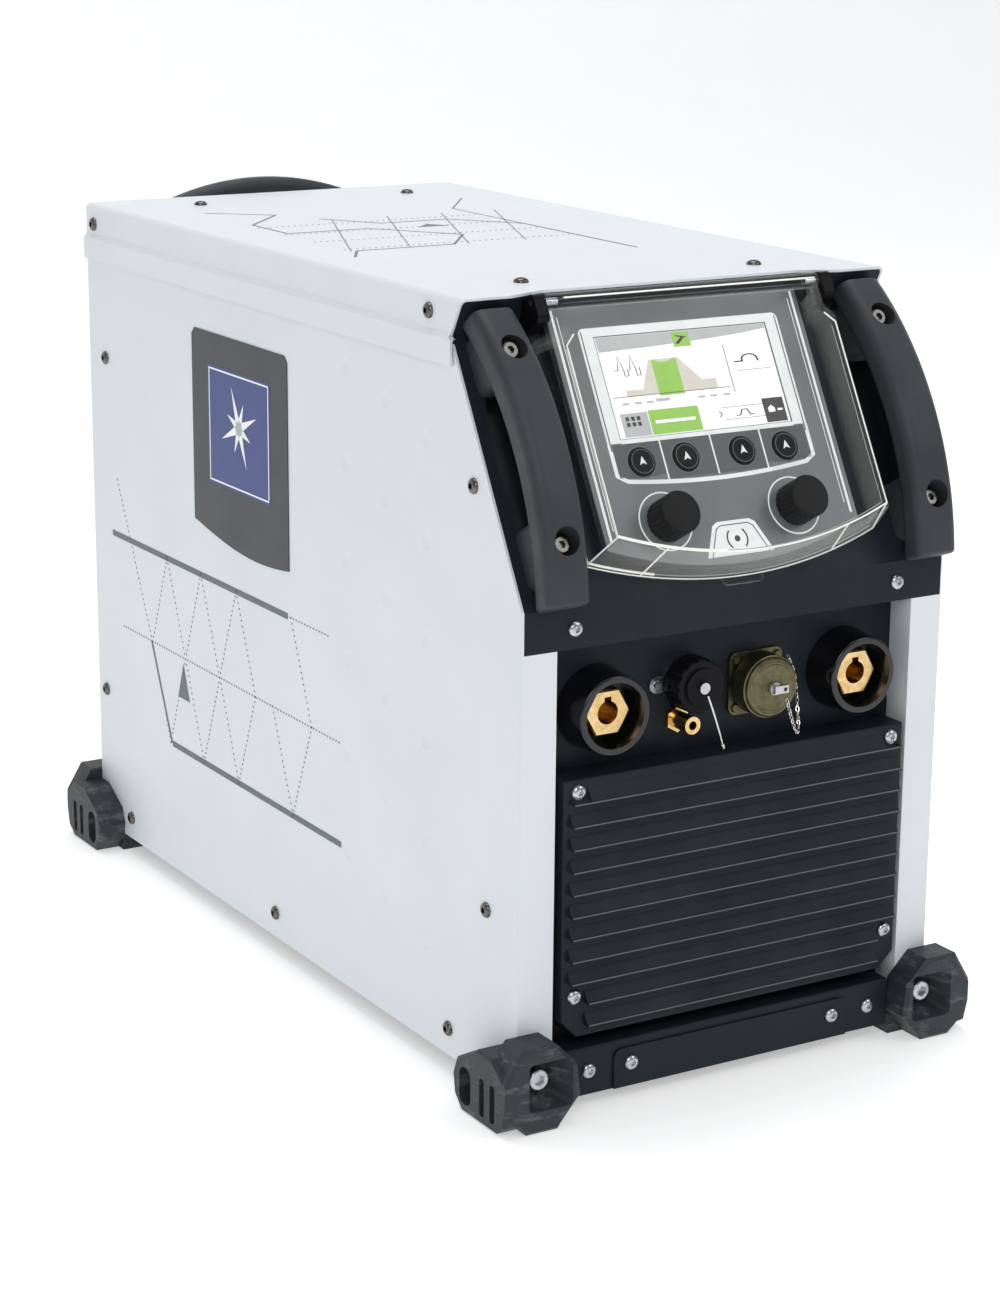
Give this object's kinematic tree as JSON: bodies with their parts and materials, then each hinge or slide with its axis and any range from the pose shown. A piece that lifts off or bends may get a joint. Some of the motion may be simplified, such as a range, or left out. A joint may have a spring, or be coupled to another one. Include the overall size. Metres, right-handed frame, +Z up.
{
  "type": "tig welding machine",
  "caption": "Inverter TIG welding power source in a white sheet-metal case: sloped console under a hinged clear cover, front handles, sockets, grille, corner feet.",
  "frame": {"origin": "on the ground, under the middle of the machine", "axes": "+X to the machine's right as seen from its front, +Y from front to rear, +Z up"},
  "size_m": [0.318, 0.612, 0.45],
  "materials": {
    "panel_white": "fine-textured powder coat",
    "panel_navy": "fine-textured powder coat",
    "moulded_charcoal": "fine grain",
    "foot_grey": "moulded grain, scuffed",
    "knob_black": "satin",
    "socket_black": "glossy",
    "overlay_grey": "printed polyester film, satin",
    "display_glass": "lit display behind glass",
    "clear_cover": "clear moulded polycarbonate",
    "board_green": "solder mask",
    "steel_pin": "polished",
    "screw_nickel": "dark nickel plated",
    "screw_zinc": "zinc plated",
    "brass": "machined",
    "olive_cap": "olive plating, satin",
    "chain_steel": "nickel plated",
    "fan_black": "satin",
    "hose_black": "matt",
    "heatsink_aluminium": "extruded",
    "core_iron": "ferrite and lacquered winding"
  },
  "bodies": {
    "root": {"side_panel_right": "panel_white", "side_panel_left": "panel_white", "top_cover": "panel_white", "base_tray": "panel_navy", "front_base_plate": "panel_navy", "access_plate": "panel_navy", "rear_panel": "panel_navy", "connector_panel": "panel_navy", "front_grille": "panel_navy", "console_bezel": "panel_navy", "face_plate": "overlay_grey", "display_module": "display_glass", "control_board": "board_green", "cover_hinge_brackets": "knob_black", "cover_hinge_pins": "steel_pin", "handle_left": "moulded_charcoal", "handle_right": "moulded_charcoal", "socket_shroud_left": "socket_black", "socket_shroud_right": "socket_black", "socket_contact_left": "brass", "socket_contact_right": "brass", "rear_handle": "moulded_charcoal", "handle_bolts": "screw_nickel", "foot_front_right": "foot_grey", "foot_front_left": "foot_grey", "foot_rear_right": "foot_grey", "foot_rear_left": "foot_grey", "foot_bolts": "screw_zinc", "torch_connector": "screw_zinc", "remote_connector": "olive_cap", "gas_outlet": "brass", "fan_frame": "fan_black", "fan_guard": "screw_zinc", "main_switch_body": "knob_black", "cable_gland": "knob_black", "gas_inlet": "brass", "gas_hose": "hose_black", "heatsink": "heatsink_aluminium", "power_board": "board_green", "transformer": "core_iron", "output_choke": "core_iron", "panel_screws": "screw_nickel", "front_screws": "screw_zinc"},
    "cover": {"protective_cover": "clear_cover"},
    "button_1": {"button_1": "knob_black"},
    "button_2": {"button_2": "knob_black"},
    "button_3": {"button_3": "knob_black"},
    "button_4": {"button_4": "knob_black"},
    "knob_left": {"knob_left": "knob_black", "encoder_shaft_left": "steel_pin"},
    "knob_right": {"knob_right": "knob_black", "encoder_shaft_right": "steel_pin"},
    "torch_stud": {"torch_cap_stud": "screw_zinc", "torch_lanyard": "chain_steel"},
    "torch_cap": {"torch_cap": "knob_black"},
    "remote_stud": {"remote_cap_stud": "chain_steel", "remote_chain": "chain_steel"},
    "remote_cap": {"remote_cap": "olive_cap"},
    "main_switch": {"main_switch_knob": "knob_black"},
    "fan": {"fan_rotor": "fan_black"}
  },
  "joints": [
    {"name": "cover_hinge", "type": "hinge", "parent": "root", "child": "cover", "pos_m": [0, -0.22259, 0.43736], "axis": [-1, 0, 0], "range_deg": [0, 105]},
    {"name": "button_1_press", "type": "slide", "parent": "root", "child": "button_1", "axis": [0, 0.8714, -0.4906], "range_m": [0, 0.0008], "stiffness_N_per_m": 600, "springref_m": -0.0005},
    {"name": "button_2_press", "type": "slide", "parent": "root", "child": "button_2", "axis": [0, 0.8714, -0.4906], "range_m": [0, 0.0008], "stiffness_N_per_m": 600, "springref_m": -0.0005},
    {"name": "button_3_press", "type": "slide", "parent": "root", "child": "button_3", "axis": [0, 0.8714, -0.4906], "range_m": [0, 0.0008], "stiffness_N_per_m": 600, "springref_m": -0.0005},
    {"name": "button_4_press", "type": "slide", "parent": "root", "child": "button_4", "axis": [0, 0.8714, -0.4906], "range_m": [0, 0.0008], "stiffness_N_per_m": 600, "springref_m": -0.0005},
    {"name": "knob_left_turn", "type": "hinge", "parent": "root", "child": "knob_left", "pos_m": [-0.0425, -0.2813, 0.32696], "axis": [0, -0.8714, 0.4906], "continuous": true},
    {"name": "knob_right_turn", "type": "hinge", "parent": "root", "child": "knob_right", "pos_m": [0.0425, -0.2813, 0.32696], "axis": [0, -0.8714, 0.4906], "continuous": true},
    {"name": "torch_cap_draw", "type": "slide", "parent": "root", "child": "torch_stud", "axis": [0, -1, 0], "range_m": [0, 0.006]},
    {"name": "torch_cap_turn", "type": "hinge", "parent": "torch_stud", "child": "torch_cap", "pos_m": [-0.0245, -0.282, 0.2305], "axis": [0, -1, 0], "range_deg": [0, 1440]},
    {"name": "remote_cap_draw", "type": "slide", "parent": "root", "child": "remote_stud", "axis": [0, -1, 0], "range_m": [0, 0.006]},
    {"name": "remote_cap_turn", "type": "hinge", "parent": "remote_stud", "child": "remote_cap", "pos_m": [0.0225, -0.282, 0.224], "axis": [0, -1, 0], "range_deg": [0, 1440]},
    {"name": "main_switch_turn", "type": "hinge", "parent": "root", "child": "main_switch", "pos_m": [0.078, 0.279, 0.364], "axis": [0, 1, 0], "range_deg": [0, 90]},
    {"name": "fan_spin", "type": "hinge", "parent": "root", "child": "fan", "pos_m": [0, 0.254, 0.182], "axis": [0, 1, 0], "continuous": true}
  ],
  "couplings": [
    {"joint": "torch_cap_turn", "follows": "torch_cap_draw", "rad_per_m": 4188.8},
    {"joint": "remote_cap_turn", "follows": "remote_cap_draw", "rad_per_m": 4188.8}
  ]
}
